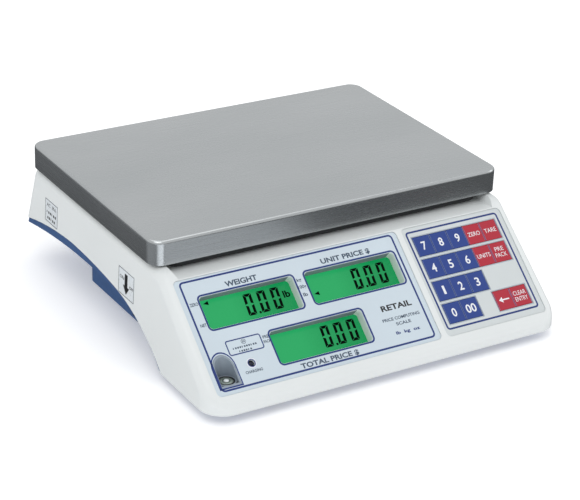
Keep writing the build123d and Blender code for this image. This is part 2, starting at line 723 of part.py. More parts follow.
def lower_housing():
    """Blue base: a lip under the white case, a raised rear and a deeper hull."""
    spigot = WALL + FIT_GAP
    shell = lip_block() + belly_block(0, SPIGOT_RISE, spigot)
    hull = slab(-HULL_HALF_W, HULL_HALF_W, HULL_FRONT_Y, HULL_BACK_Y, HULL_Z, 42.0, 6.0)
    shell += hull & case_body(spigot, drop=DEEP_DROP)
    inside = spigot + 1.8
    hollow = belly_block(LOWER_WALL, 0, inside, top_curve=False)
    hollow += slab(-HULL_HALF_W + LOWER_WALL, HULL_HALF_W - LOWER_WALL,
                   HULL_FRONT_Y + LOWER_WALL, HULL_BACK_Y - LOWER_WALL,
                   HULL_Z + LOWER_WALL, TOP_Z, 3.5)
    shell -= hollow
    for x, y, top in FEET.values():
        shell += rod(x, y, FLOOR_Z, top, FOOT_BOSS_R)
        shell -= rod(x, y, FLOOR_Z - 1, top + 1, STUD_R + 0.06)
    for x, y in MAIN_POSTS:
        shell += rod(x, y, HULL_Z + 1, MAIN_BOARD_Z, 3.2)
        shell -= rod(x, y, HULL_Z + LOWER_WALL, MAIN_BOARD_Z + 1, PILOT_R)
    for x, y in CASE_SCREWS:
        seat = case_screw_seat(x, y)
        shell += rod(x, y, seat, seat + LOWER_WALL, 5.0)
        shell -= rod(x, y, seat - 4, seat + 10, CASE_SCREW_R + 0.2)
        shell -= rod(x, y, seat - 6, seat, 4.0)

    for x in FIXED_SCREWS_X:
        shell -= rod(x, CELL_Y, HULL_Z - 1, 25, CELL_SCREW_R + 0.2)
    x0, x1, y0, y1, _ = BATTERY_BOX
    shell -= slab(x0 + 2, x1 - 2, y0 + 2, y1 - 2, HULL_Z - 1, HULL_Z + LOWER_WALL + 1, 3.0)
    shell -= slab(x0 - DOOR_LIP, x1 + DOOR_LIP - 3, y0 - DOOR_LIP, y1 + DOOR_LIP,
                  HULL_Z - 1, HULL_Z + DOOR_T, 3.0)
    for x, y in door_screw_spots():
        shell += rod(x, y, HULL_Z + DOOR_T, HULL_Z + 7, 3.0)
        shell -= rod(x, y, HULL_Z, HULL_Z + 8, PILOT_R)
    half_l, half_h = (half + FIT_GAP / 2 for half in SWITCH_HALF)
    shell -= slab(-HULL_HALF_W - 1, -HULL_HALF_W + 4, SWITCH_Y - half_l, SWITCH_Y + half_l,
                  SWITCH_Z - half_h, SWITCH_Z + half_h)
    half_w, half_h = (half + FIT_GAP / 2 for half in INLET_HALF)
    shell -= slab(INLET_X - half_w, INLET_X + half_w, HULL_BACK_Y - 4, HULL_BACK_Y + 1,
                  INLET_Z - half_h, INLET_Z + half_h)
    return shell


def door_screw_spots():
    x0, x1, y0, y1, _ = BATTERY_BOX
    middle = (x0 + x1) / 2
    return [(middle, y0 - 3.8), (middle, y1 + 3.8)]


def battery_door():
    """Cover let into the hull's underside."""
    x0, x1, y0, y1, _ = BATTERY_BOX
    lip = DOOR_LIP - DOOR_GAP
    door = slab(x0 - lip, x1 + lip - 3, y0 - lip, y1 + lip, HULL_Z, HULL_Z + DOOR_T, 2.7)
    for x, y in door_screw_spots():
        door -= rod(x, y, 0, REACH, PILOT_R + 0.2)
    return door


def battery():
    """Sealed rechargeable block with two tab terminals."""
    x0, x1, y0, y1, height = BATTERY_BOX
    base = HULL_Z + LOWER_WALL
    block = slab(x0, x1, y0, y1, base, base + height, 2.0)
    for y in (y0 + 14, y1 - 14):
        block += slab(x0 + 8, x0 + 13, y - 0.4, y + 0.4, base + height, base + height + 6)
    return block


def main_board():
    """Processor and charger board with its tallest components."""
    top = MAIN_BOARD_Z + BOARD_T
    board = slab(*MAIN_BOARD, MAIN_BOARD_Z, top, 2.0)
    for x, y, w, d, h in CHIPS:
        board += slab(x - w / 2, x + w / 2, y - d / 2, y + d / 2, top - 0.2, top + h)
    for x, y in CAPACITORS:
        board += rod(x, y, top - 0.2, top + CAPACITOR_H, CAPACITOR_R)
    for x, y in MAIN_POSTS:
        board -= rod(x, y, 0, REACH, PILOT_R + 0.2)
    return board


def transformer():
    """Mains transformer: laminated core around a wound bobbin, on two feet."""
    base = HULL_Z + LOWER_WALL
    core = slab(*CORE, base, base + CORE_H)
    winding = slab(*WINDING, base + 5.0, base + CORE_H - 5.0, 5.0)
    feet = slab(*CORE_FEET, base, base + 2.0, 3.0)
    return core + winding + feet


def case_screws():
    """Screws that come up through the base and pull the case halves together."""
    screws = []
    for x, y in CASE_SCREWS:
        seat = case_screw_seat(x, y)
        head = rod(x, y, seat - 2.2, seat, 2.8)
        screws.append(head + rod(x, y, seat, seat + CASE_SCREW_L, CASE_SCREW_R))
    return Compound(children=screws)


# ---- power switch and inlet ---------------------------------------------------------------
def power_switch():
    """Snap-in body of the rocker switch on the hull's left wall."""
    wall = -HULL_HALF_W
    end = wall + SWITCH_DEPTH
    half_l, half_h = SWITCH_HALF

    def block(x0, x1, grow):
        return slab(x0, x1, SWITCH_Y - half_l - grow, SWITCH_Y + half_l + grow,
                    SWITCH_Z - half_h - grow, SWITCH_Z + half_h + grow)

    body = block(wall - 1.6, wall, SWITCH_FLANGE) + block(wall, end, 0)
    for y in (SWITCH_Y - 5, SWITCH_Y + 5):
        body += slab(end, end + TAB_L, y - 0.4, y + 0.4, SWITCH_Z - 2.4, SWITCH_Z + 2.4)
    return body - block(wall - 2, wall + 8, -SWITCH_WALL)


def power_rocker():
    """Rocker paddle; it tips about a vertical pin in the switch body."""
    outline = Pos(-1.4, 0) * Rectangle(6.0, 15.0) - Pos(-11.2, 0) * Circle(7.6)
    paddle = Rot(0, 0, SWITCH_TILT) * extrude(outline + Circle(1.5), 9.2)
    return Pos(-HULL_HALF_W + 2.6, SWITCH_Y, SWITCH_Z - 4.6) * paddle


def power_inlet():
    """Appliance inlet for a mains lead, with three blades in its recess."""
    half_w, half_h = INLET_HALF

    def block(y0, y1, grow):
        return slab(INLET_X - half_w - grow, INLET_X + half_w + grow, y0, y1,
                    INLET_Z - half_h - grow, INLET_Z + half_h + grow)

    back = HULL_BACK_Y - INLET_DEPTH
    body = block(HULL_BACK_Y, HULL_BACK_Y + 2, 1.6) + block(back, HULL_BACK_Y, 0)
    body -= block(back + 4, HULL_BACK_Y + 3, -INLET_WALL)
    for x, z in BLADES:
        body += slab(INLET_X + x - 1, INLET_X + x + 1, back - 2, HULL_BACK_Y - 2,
                     INLET_Z + z - 2, INLET_Z + z + 2)
    return body


# ---- adjustable feet ----------------------------------------------------------------------
def foot_pad(x, y):
    """Rubber pad that stays still on the table while its screw turns."""
    pad = rod(x, y, 0, PAD_H, FOOT_R)
    pad = fillet(pad.faces().sort_by(Axis.Z)[-1].edges(), 0.8)
    return pad - rod(x, y, PAD_H - 1.5, PAD_H + 1, 5.6)


def foot_screw(x, y, top):
    """Fluted knob on a threaded stud, with a spigot that turns in the pad."""
    knob = rod(x, y, PAD_H, KNOB_TOP_Z, FOOT_R - 1)
    for flute in PolarLocations(FOOT_R, 12):
        knob -= Pos(x, y, 0) * flute * extrude(Circle(1.8), 10)
    spigot = rod(x, y, PAD_H - 1.4, PAD_H, 5.4)
    return knob + spigot + rod(x, y, KNOB_TOP_Z, top, STUD_R)


# ---- assembly -----------------------------------------------------------------------------
def build_parts():
    parts = {
        "platter": platter(),
        "platter_pads": platter_pads(),
        "sub_platform": sub_platform(),
        "cell_spacer": cell_spacer(),
        "carrier_screws": carrier_screws(),
        "load_cell": load_cell(),
        "cell_pedestal": cell_pedestal(),
        "pedestal_screws": pedestal_screws(),
        "overload_stops": overload_stops(),
        "upper_housing": upper_housing(),
        "lower_housing": lower_housing(),
        "case_screws": case_screws(),
        "display_film": display_film(),
        "keypad_film": keypad_film(),
        "key_mat": key_mat(),
        "keypad_board": keypad_board(),
        "backlights": backlights(),
        "display_board": display_board(),
        "tapping_screws": tapping_screws(),
        "charging_led": charging_led(),
        "level_cup": level_cup(),
        "level_vial": level_vial(),
        "main_board": main_board(),
        "transformer": transformer(),
        "battery": battery(),
        "battery_door": battery_door(),
        "power_switch": power_switch(),
        "power_rocker": power_rocker(),
        "power_inlet": power_inlet(),
        "rear_film": rear_film(),
        "rear_displays": rear_displays(),
        "rear_board": rear_board(),
    }
    for name in WINDOWS:
        parts[f"display_{name}"] = display_glass(name)
    for row, names in enumerate(KEY_ROWS):
        for column, name in enumerate(names):
            if name:
                parts[f"key_{name}"] = key_cap(row, column)
    for corner, (x, y, top) in FEET.items():
        parts[f"foot_pad_{corner}"] = foot_pad(x, y)
        parts[f"foot_screw_{corner}"] = foot_screw(x, y, top)
    return parts


os.makedirs("parts", exist_ok=True)
for node, shape in build_parts().items():
    export_step(shape, f"parts/{node}.step")
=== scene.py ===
"""Looks of the price-computing counter scale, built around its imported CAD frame."""
import json
from math import cos, pi, radians, sin

import bmesh
import bpy
from mathutils import Matrix, Vector

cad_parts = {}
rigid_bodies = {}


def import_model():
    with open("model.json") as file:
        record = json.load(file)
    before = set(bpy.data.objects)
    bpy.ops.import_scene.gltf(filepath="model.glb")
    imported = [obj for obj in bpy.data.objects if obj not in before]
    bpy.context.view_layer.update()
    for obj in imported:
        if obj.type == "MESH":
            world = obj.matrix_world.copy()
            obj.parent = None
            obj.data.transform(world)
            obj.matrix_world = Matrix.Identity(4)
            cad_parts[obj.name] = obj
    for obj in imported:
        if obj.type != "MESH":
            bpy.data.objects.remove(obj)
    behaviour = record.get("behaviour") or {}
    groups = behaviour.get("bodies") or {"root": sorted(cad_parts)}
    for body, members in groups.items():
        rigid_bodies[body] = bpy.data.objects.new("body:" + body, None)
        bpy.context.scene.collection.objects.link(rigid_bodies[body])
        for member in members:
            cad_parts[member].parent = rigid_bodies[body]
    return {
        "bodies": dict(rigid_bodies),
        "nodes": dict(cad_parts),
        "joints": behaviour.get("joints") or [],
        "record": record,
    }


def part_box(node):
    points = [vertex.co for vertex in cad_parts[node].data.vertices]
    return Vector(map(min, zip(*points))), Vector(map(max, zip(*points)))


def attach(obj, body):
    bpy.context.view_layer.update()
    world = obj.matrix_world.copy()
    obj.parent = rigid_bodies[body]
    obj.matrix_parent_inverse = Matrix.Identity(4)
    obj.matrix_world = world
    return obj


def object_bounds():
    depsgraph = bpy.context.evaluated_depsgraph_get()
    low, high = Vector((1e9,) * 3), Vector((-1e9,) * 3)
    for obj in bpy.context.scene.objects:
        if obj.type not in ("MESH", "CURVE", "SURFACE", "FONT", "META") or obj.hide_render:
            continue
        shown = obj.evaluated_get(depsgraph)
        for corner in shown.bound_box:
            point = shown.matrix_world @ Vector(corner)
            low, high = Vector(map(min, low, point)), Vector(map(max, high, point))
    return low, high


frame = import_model()
CAD_LOW, CAD_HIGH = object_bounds()
MM = 0.001

# ---- driving dimensions, in millimetres on the surface that each belongs to ---------------
FILM_CENTRE = (-51.0, -76.1, -0.95)   # middle of the display film in panel coordinates
FILM_N = -0.7                  # printed face of both films, below the case's sloping surface
KEY_N = -0.6                   # key faces
GLASS_N = -9.5                 # display glass
GLASS_MARGIN = 1.5             # glass hidden behind each side of its window
BACK_LEAN = 17.10              # degrees, the back wall leans forwards
REAR_FILM_N = 0.25             # printed face of the rear film above the middle of its thickness
REAR_GLASS_DROP = 2.3          # rear glass below that face
SIDE_DRAFT = 1.92              # degrees, the case narrows upwards
INK_T = 0.05
INK_BITE = 0.02                # how far a print reaches into what carries it
LINE_W = 1.5                   # navy outlines
TEXT_STEPS = 3

# ---- camera --------------------------------------------------------------------------------
CAMERA_TARGET = Vector((0.0006, -0.0047, 0.0424))
CAMERA_DISTANCE = 1.6082
CAMERA_AZIMUTH = radians(32.04)
CAMERA_ELEVATION = radians(25.66)
CAMERA_ROLL = radians(2.28)
CAMERA_LENS = 121.5
CAMERA_SENSOR = 36.0


# ---- stage ---------------------------------------------------------------------------------
FLOOR_SIZE = 9.0               # metres from the middle to each edge
FLOOR_GLOW = 0.3
DISPLAY_GLOW = 0.82
SKY_STRENGTH = 0.7
SKY_LOW = (0.16, 0.17, 0.18, 1)
SKY_HIGH = (0.985, 0.992, 1.0, 1)
HORIZON = (0.42, 0.54)         # start and end of the change, as a share of the way up
LIGHT_AIM = (0, 0, 0.05)
LIGHTS = {                     # place, width and height in metres, power in watts
    "key_light": ((-0.9, -0.9, 2.0), 1.6, 1.2, 9),
    "top_light": ((0.2, 0.5, 2.2), 2.2, 1.6, 7),
    "right_fill": ((1.7, -0.6, 1.0), 0.9, 0.9, 2.5),
}
STEEL_CARDS = {                # x0, x1, y0, y1 in metres, brightness
    "dark": (-3.0, 3.0, -3.0, 3.0, 0.1),
    "left": (-1.6, -0.3, -1.2, 0.5, 0.33),
    "corner": (-0.62, -0.34, -0.95, -0.3, 1.1),
    "front": (-0.3, -0.12, -1.2, -0.2, 1.25),
    "middle": (-0.1, 0.08, -1.2, -0.2, 0.55),
}
CARD_DROP = -0.004             # the lowest card, below the floor
CARD_STEP = 0.0004             # from one card to the next


# ---- shader helpers ------------------------------------------------------------------------
def srgb(red, green, blue):
    """Linear colour of an 8-bit display colour."""
    def linear(value):
        value /= 255
        return value / 12.92 if value <= 0.04045 else ((value + 0.055) / 1.055) ** 2.4
    return (linear(red), linear(green), linear(blue), 1.0)


def scaled(colour, factor):
    return tuple(min(1.0, channel * factor) for channel in colour[:3]) + (1.0,)


class Shader:
    """A material with a Principled shader and short ways to add nodes to it."""

    def __init__(self, name, roughness=0.5, metallic=0.0, **sockets):
        self.material = bpy.data.materials.new(name)
        self.material.use_nodes = True
        self.tree = self.material.node_tree
        self.shader = self.tree.nodes["Principled BSDF"]
        self.shader.inputs["Roughness"].default_value = roughness
        self.shader.inputs["Metallic"].default_value = metallic
        for socket, value in sockets.items():
            self.shader.inputs[socket.replace("_", " ")].default_value = value
        self.coordinates = self.add("ShaderNodeTexCoord").outputs["Object"]

    def add(self, kind, **settings):
        node = self.tree.nodes.new(kind)
        for key, value in settings.items():
            setattr(node, key, value)
        return node

    def link(self, output, node_input):
        self.tree.links.new(output, node_input)

    def stretch(self, scale, vector=None):
        node = self.add("ShaderNodeMapping")
        node.inputs["Scale"].default_value = scale
        self.link(vector or self.coordinates, node.inputs["Vector"])
        return node.outputs["Vector"]

    def noise(self, scale, detail=2.0, vector=None, roughness=0.5):
        node = self.add("ShaderNodeTexNoise")
        node.inputs["Scale"].default_value = scale
        node.inputs["Detail"].default_value = detail
        node.inputs["Roughness"].default_value = roughness
        self.link(vector or self.coordinates, node.inputs["Vector"])
        return node.outputs["Fac"]

    def cells(self, scale, vector=None):
        node = self.add("ShaderNodeTexVoronoi")
        node.inputs["Scale"].default_value = scale
        self.link(vector or self.coordinates, node.inputs["Vector"])
        return node.outputs["Distance"]

    def fit(self, value, low, high, start=0.3, end=0.7):
        """Maps value from start..end to low..high."""
        node = self.add("ShaderNodeMapRange")
        node.inputs["From Min"].default_value = start
        node.inputs["From Max"].default_value = end
        node.inputs["To Min"].default_value = low
        node.inputs["To Max"].default_value = high
        self.link(value, node.inputs["Value"])
        return node.outputs["Result"]

    def blend(self, factor, first, second):
        """Colour that goes from first to second as factor goes from 0 to 1."""
        node = self.add("ShaderNodeMix", data_type="RGBA")
        self.link(factor, node.inputs["Factor"])
        for socket, colour in (("A", first), ("B", second)):
            target = [i for i in node.inputs if i.name == socket and i.type == "RGBA"][0]
            if hasattr(colour, "is_output"):
                self.link(colour, target)
            else:
                target.default_value = colour
        return [o for o in node.outputs if o.type == "RGBA"][0]

    def mix_values(self, factor, first, second):
        node = self.add("ShaderNodeMix", data_type="FLOAT")
        self.link(factor, node.inputs["Factor"])
        self.link(first, node.inputs[2])
        self.link(second, node.inputs[3])
        return node.outputs[0]

    def colour(self, output):
        self.link(output, self.shader.inputs["Base Color"])

    def rough(self, output):
        self.link(output, self.shader.inputs["Roughness"])

    def bump(self, height, strength, distance, under=None):
        """Adds relief, on top of an earlier bump if one is given."""
        node = self.add("ShaderNodeBump")
        node.inputs["Strength"].default_value = strength
        node.inputs["Distance"].default_value = distance
        self.link(height, node.inputs["Height"])
        if under:
            self.link(under, node.inputs["Normal"])
        self.link(node.outputs["Normal"], self.shader.inputs["Normal"])
        return node.outputs["Normal"]


# ---- materials -----------------------------------------------------------------------------
def moulded(name, colour, roughness=0.42, grain=0.12, tone=0.05, coat=0.0):
    """Moulded plastic: fine spark-eroded grain, slow tone drift and uneven gloss."""
    m = Shader(name, roughness, Coat_Weight=coat, Coat_Roughness=0.25)
    drift = m.noise(9.0, 3.0)
    m.colour(m.blend(m.fit(drift, 0, 1), scaled(colour, 1 - tone), scaled(colour, 1 + tone / 2)))
    gloss = m.noise(160.0, 2.0)
    m.rough(m.fit(gloss, roughness - 0.05, roughness + 0.06))
    first = m.bump(m.cells(2600.0), grain, 0.00005)
    m.bump(m.noise(5200.0, 1.0), grain * 0.6, 0.00003, first)
    return m.material


def brushed_steel(name):
    """Stainless sheet with straight brushing along each side and slight cloudiness."""
    m = Shader(name, 0.3, 1.0)
    along_x = m.noise(1.0, 3.0, m.stretch((14, 1900, 1900)), 0.6)
    along_y = m.noise(1.0, 3.0, m.stretch((1900, 14, 1900)), 0.6)
    normal = m.add("ShaderNodeSeparateXYZ")
    m.link(m.add("ShaderNodeNewGeometry").outputs["Normal"], normal.inputs["Vector"])
    size = m.add("ShaderNodeMath", operation="ABSOLUTE")
    m.link(normal.outputs["X"], size.inputs[0])
    side = m.fit(size.outputs["Value"], 0, 1, 0.6, 0.8)
    streaks = m.mix_values(side, along_x, along_y)
    clouds = m.noise(11.0, 4.0, m.stretch((0.5, 1, 1)))
    tint = m.blend(m.fit(clouds, 0, 1), srgb(198, 202, 203), srgb(208, 211, 212))
    m.colour(m.blend(m.fit(streaks, 0, 0.5), tint, srgb(186, 190, 192)))
    m.rough(m.fit(streaks, 0.2, 0.3))
    m.bump(streaks, 0.09, 0.00006)
    return m.material


def powder_coat(name, colour, roughness=0.55):
    """Powder-coated casting with orange peel."""
    m = Shader(name, roughness)
    peel = m.noise(900.0, 2.0)
    m.colour(m.blend(m.fit(peel, 0, 1), scaled(colour, 0.85), scaled(colour, 1.25)))
    m.rough(m.fit(m.noise(60.0), roughness - 0.08, roughness + 0.08))
    m.bump(peel, 0.35, 0.00015)
    return m.material


def machined(name, colour, roughness=0.32):
    """Milled metal with fine tool marks."""
    m = Shader(name, roughness, 1.0)
    marks = m.noise(1.0, 2.0, m.stretch((120, 2400, 900)))
    m.colour(m.blend(m.fit(marks, 0, 1), scaled(colour, 0.88), colour))
    m.rough(m.fit(marks, roughness - 0.06, roughness + 0.1))
    m.bump(marks, 0.12, 0.00005)
    return m.material


def plated(name, colour):
    """Zinc-plated fastener, slightly mottled."""
    m = Shader(name, 0.28, 1.0)
    mottle = m.noise(700.0, 3.0)
    m.colour(m.blend(m.fit(mottle, 0, 1), scaled(colour, 0.8), colour))
    m.rough(m.fit(mottle, 0.22, 0.4))
    m.bump(m.noise(2500.0), 0.1, 0.00004)
    return m.material


def rubber(name, colour):
    """Matt rubber with a dusty bloom."""
    m = Shader(name, 0.8, Sheen_Weight=0.15, Sheen_Roughness=0.5)
    bloom = m.noise(240.0, 4.0)
    m.colour(m.blend(m.fit(bloom, 0, 1), colour, scaled(colour, 1.6)))
    m.rough(m.fit(bloom, 0.7, 0.9))
    m.bump(m.noise(3200.0, 2.0), 0.2, 0.00006)
    return m.material


def printed_film(name, colour, roughness=0.36):
    """Polyester film printed on its back, with a fine velvet texture on its face."""
    m = Shader(name, roughness, Coat_Weight=0.25, Coat_Roughness=0.3)
    sheet = m.noise(14.0, 3.0)
    m.colour(m.blend(m.fit(sheet, 0, 1), scaled(colour, 0.965), scaled(colour, 1.02)))
    m.rough(m.fit(m.noise(420.0), roughness - 0.05, roughness + 0.05))
    m.bump(m.noise(3800.0, 2.0), 0.1, 0.00003)
    return m.material


def ink(name, colour, roughness=0.45):
    """Screen-printed ink, a little uneven under a satin varnish."""
    m = Shader(name, roughness, Coat_Weight=0.15, Coat_Roughness=0.35)
    density = m.noise(1500.0, 2.0)
    m.colour(m.blend(m.fit(density, 0, 1), scaled(colour, 0.92), scaled(colour, 1.08)))
    m.bump(density, 0.08, 0.00003)
    return m.material


def lit_display(name):
    """Green backlit liquid crystal behind glass, paler towards the lamp at its left end."""
    m = Shader(name, 0.2, Coat_Weight=0.15, Coat_Roughness=0.08, Specular_IOR_Level=0.25)
    place = m.add("ShaderNodeSeparateXYZ")
    m.link(m.add("ShaderNodeTexCoord").outputs["Generated"], place.inputs["Vector"])
    cells = m.noise(900.0, 2.0)
    glow = m.blend(m.fit(place.outputs["X"], 0, 1, 0.35, 0.8), srgb(38, 178, 104), srgb(4, 150, 82))
    glow = m.blend(m.fit(cells, 0, 0.2), glow, srgb(44, 184, 108))
    m.colour(m.blend(m.fit(cells, 0, 1), srgb(6, 40, 20), srgb(8, 46, 24)))
    m.link(glow, m.shader.inputs["Emission Color"])
    m.shader.inputs["Emission Strength"].default_value = DISPLAY_GLOW
    return m.material


def card_paint(name, glow):
    """Evenly glowing card with a faint weave."""
    m = Shader(name, 0.9)
    m.colour(m.blend(m.fit(m.noise(30.0), 0, 1), srgb(4, 4, 4), srgb(6, 6, 6)))
    m.shader.inputs["Emission Color"].default_value = srgb(246, 250, 255)
    m.shader.inputs["Emission Strength"].default_value = glow
    return m.material


def dark_segments(name):
    """Switched segments of a liquid crystal: almost black, hardly any gloss of their own."""
    m = Shader(name, 0.7, Specular_IOR_Level=0.03)
    m.colour(m.blend(m.fit(m.noise(800.0), 0, 1), srgb(2, 10, 7), srgb(6, 18, 12)))
    return m.material


def circuit_board(name):
    """Green solder mask over a faint pattern of copper tracks."""
    m = Shader(name, 0.35, Coat_Weight=0.3, Coat_Roughness=0.2)
    tracks = m.add("ShaderNodeTexBrick")
    tracks.inputs["Scale"].default_value = 260.0
    tracks.inputs["Color1"].default_value = srgb(20, 96, 52)
    tracks.inputs["Color2"].default_value = srgb(26, 108, 60)
    tracks.inputs["Mortar"].default_value = srgb(34, 124, 70)
    tracks.inputs["Mortar Size"].default_value = 0.012
    m.link(m.coordinates, tracks.inputs["Vector"])
    m.colour(tracks.outputs["Color"])
    m.rough(m.fit(m.noise(300.0), 0.28, 0.42))
    m.bump(tracks.outputs["Fac"], 0.2, 0.00005)
    return m.material


def tinted_lens(name, colour, transmission=0.85, roughness=0.08):
    """Clear or tinted moulded lens with faint flow lines."""
    m = Shader(name, roughness, IOR=1.49)
    m.shader.inputs["Transmission Weight"].default_value = transmission
    flow = m.noise(180.0, 2.0)
    m.colour(m.blend(m.fit(flow, 0, 1), scaled(colour, 0.94), colour))
    m.rough(m.fit(flow, roughness, roughness + 0.05))
    return m.material


def laminated_core(name):
    """Transformer: stacked sheets under brown varnish."""
    m = Shader(name, 0.4, 0.6, Coat_Weight=0.5, Coat_Roughness=0.2)
    sheets = m.noise(1.0, 1.0, m.stretch((30, 30, 2200)))
    m.colour(m.blend(m.fit(sheets, 0, 1), srgb(58, 52, 46), srgb(104, 96, 88)))
    m.bump(sheets, 0.4, 0.0001)
    return m.material


def diffuser(name):
    """Milky light guide with a fine dot pattern."""
    m = Shader(name, 0.3, Subsurface_Weight=0.2, Subsurface_Radius=(0.002, 0.002, 0.002))
    dots = m.cells(900.0)
    m.colour(m.blend(m.fit(dots, 0, 1, 0.1, 0.4), srgb(222, 232, 224), srgb(246, 250, 246)))
    m.bump(dots, 0.15, 0.00005)
    return m.material


def floor_paint(name):
    m = Shader(name, 0.75)
    patches = m.noise(3.0, 3.0)
    m.colour(m.blend(m.fit(patches, 0, 1), srgb(250, 251, 252), srgb(254, 254, 255)))
    m.bump(m.noise(120.0), 0.02, 0.0002)
    m.shader.inputs["Emission Color"].default_value = srgb(255, 255, 255)
    m.shader.inputs["Emission Strength"].default_value = FLOOR_GLOW
    return m.material


WHITE_PLASTIC = srgb(232, 236, 236)
BASE_BLUE = srgb(58, 92, 142)

SLOTS = {
    "platter_steel": brushed_steel("steel_brushed"),
    "carrier_black": powder_coat("casting_black", srgb(22, 25, 28)),
    "cell_aluminium": machined("aluminium_milled", srgb(206, 208, 212)),
    "screw_steel": plated("zinc_plated", srgb(196, 198, 200)),
    "pad_rubber": rubber("rubber_black", srgb(30, 31, 33)),
    "case_white": moulded("plastic_white", WHITE_PLASTIC, 0.4, 0.1, 0.025, 0.15),
    "base_blue": moulded("plastic_blue", BASE_BLUE, 0.38, 0.14, 0.1, 0.1),
    "film_blue": printed_film("film_pale_blue", srgb(208, 221, 230)),
    "film_grey": printed_film("film_pale_grey", srgb(213, 219, 220)),
    "key_blue": printed_film("film_key_blue", srgb(14, 56, 138), 0.42),
    "key_red": printed_film("film_key_red", srgb(180, 16, 46), 0.42),
    "mat_rubber": rubber("rubber_pale", srgb(196, 200, 202)),
    "board_green": circuit_board("solder_mask"),
    "backlight_white": diffuser("light_guide"),
    "display_green": lit_display("liquid_crystal"),
    "led_red": tinted_lens("led_lens", srgb(10, 16, 44), 0.05),
    "cup_grey": moulded("plastic_grey", srgb(148, 160, 172), 0.45, 0.14, 0.06),
    "vial_clear": tinted_lens("vial_acrylic", srgb(238, 244, 240), 0.9, 0.04),
    "core_steel": laminated_core("transformer_core"),
    "battery_grey": moulded("plastic_battery", srgb(66, 70, 76), 0.5, 0.2, 0.1),
    "switch_black": moulded("plastic_black_gloss", srgb(24, 24, 26), 0.28, 0.06, 0.1, 0.3),
    "inlet_black": moulded("plastic_black", srgb(28, 28, 30), 0.45, 0.16, 0.1),
    "foot_black": moulded("plastic_foot", srgb(34, 35, 38), 0.45, 0.18, 0.1),
}
NAVY = ink("ink_navy", srgb(10, 46, 120))
GREY_INK = ink("ink_grey", srgb(58, 76, 98))
BLACK_INK = ink("ink_black", srgb(22, 24, 28))
WHITE_INK = ink("ink_white", srgb(240, 242, 246))
PALE_INK = ink("ink_pale", srgb(176, 186, 196))
SEAM_INK = ink("ink_seam", srgb(112, 128, 168))
SEGMENT = dark_segments("crystal_dark")
# Painted shade: grey for the downward-facing upper wall of each display well, which is white plastic
# in fact
WELL_SHADE_GREY = moulded("well_shade_paint", srgb(128, 136, 146), 0.6, 0.1, 0.05)
LABEL = printed_film("label_white", srgb(226, 232, 236), 0.3)
LIQUID = tinted_lens("level_liquid", srgb(206, 224, 214), 0.5, 0.03)
BUBBLE = moulded("level_bubble", srgb(238, 244, 246), 0.12, 0.02, 0.02, 0.6)

for part in frame["record"]["subparts"]:
    for holder in frame["nodes"][part["node"]].material_slots:
        holder.material = SLOTS[part["material_slot"]]


# ---- surfaces to print on ------------------------------------------------------------------
def surface(across, up, normal, origin):
    """Matrix from millimetres on a surface (across, up, out of it) to the row frame."""
    turn = Matrix((across, up, normal)).transposed().to_4x4()
    return Matrix.Translation(origin) @ turn @ Matrix.Scale(MM, 4)


def middle(node):
    low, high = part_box(node)
    return (low + high) / 2


def joint_axis(name):
    return Vector(next(j["axis"] for j in frame["joints"] if j["name"] == name)).normalized()


X_AXIS = Vector((1, 0, 0))
PANEL_NORMAL = -joint_axis("press_5")
PANEL_UP = PANEL_NORMAL.cross(X_AXIS)
FILM_PLACE = X_AXIS * FILM_CENTRE[0] + PANEL_UP * FILM_CENTRE[1] + PANEL_NORMAL * FILM_CENTRE[2]
PANEL = surface(X_AXIS, PANEL_UP, PANEL_NORMAL, middle("display_film") - FILM_PLACE * MM)

BACK_NORMAL = Vector((0, cos(radians(BACK_LEAN)), sin(radians(BACK_LEAN))))
BACK_UP = BACK_NORMAL.cross(-X_AXIS)
BACK = surface(-X_AXIS, BACK_UP, BACK_NORMAL, middle("rear_film"))

SIDE_NORMAL = Vector((-cos(radians(SIDE_DRAFT)), 0, sin(radians(SIDE_DRAFT))))
SIDE_UP = Vector((sin(radians(SIDE_DRAFT)), 0, cos(radians(SIDE_DRAFT))))
SIDE = surface(Vector((0, -1, 0)), SIDE_UP, SIDE_NORMAL, (CAD_LOW.x, 0, 0.008))


def on_panel(point):
    """Panel coordinates (across, up the slope, out) of a point in the row frame."""
    return PANEL.inverted() @ point


def panel_box(node):
    """Across and up-slope limits of a flat node on the panel, in millimetres."""
    corners = [on_panel(v.co) for v in frame["nodes"][node].data.vertices]
    across = [c.x for c in corners]
    slope = [c.y for c in corners]
    return min(across), max(across), min(slope), max(slope)


# ---- mesh helpers --------------------------------------------------------------------------
def rounded(x0, x1, y0, y1, r, steps=6):
    """Closed outline of a rectangle with round corners."""
    points = []
    corners = (((x1 - r, y0 + r), -90), ((x1 - r, y1 - r), 0),
               ((x0 + r, y1 - r), 90), ((x0 + r, y0 + r), 180))
    for (cx, cy), start in corners:
        for i in range(steps + 1):
            angle = radians(start + 90 * i / steps)
            points.append((cx + r * cos(angle), cy + r * sin(angle)))
    return points


def circle(x, y, r, steps=40):
    return [(x + r * cos(2 * pi * i / steps), y + r * sin(2 * pi * i / steps))
            for i in range(steps)]


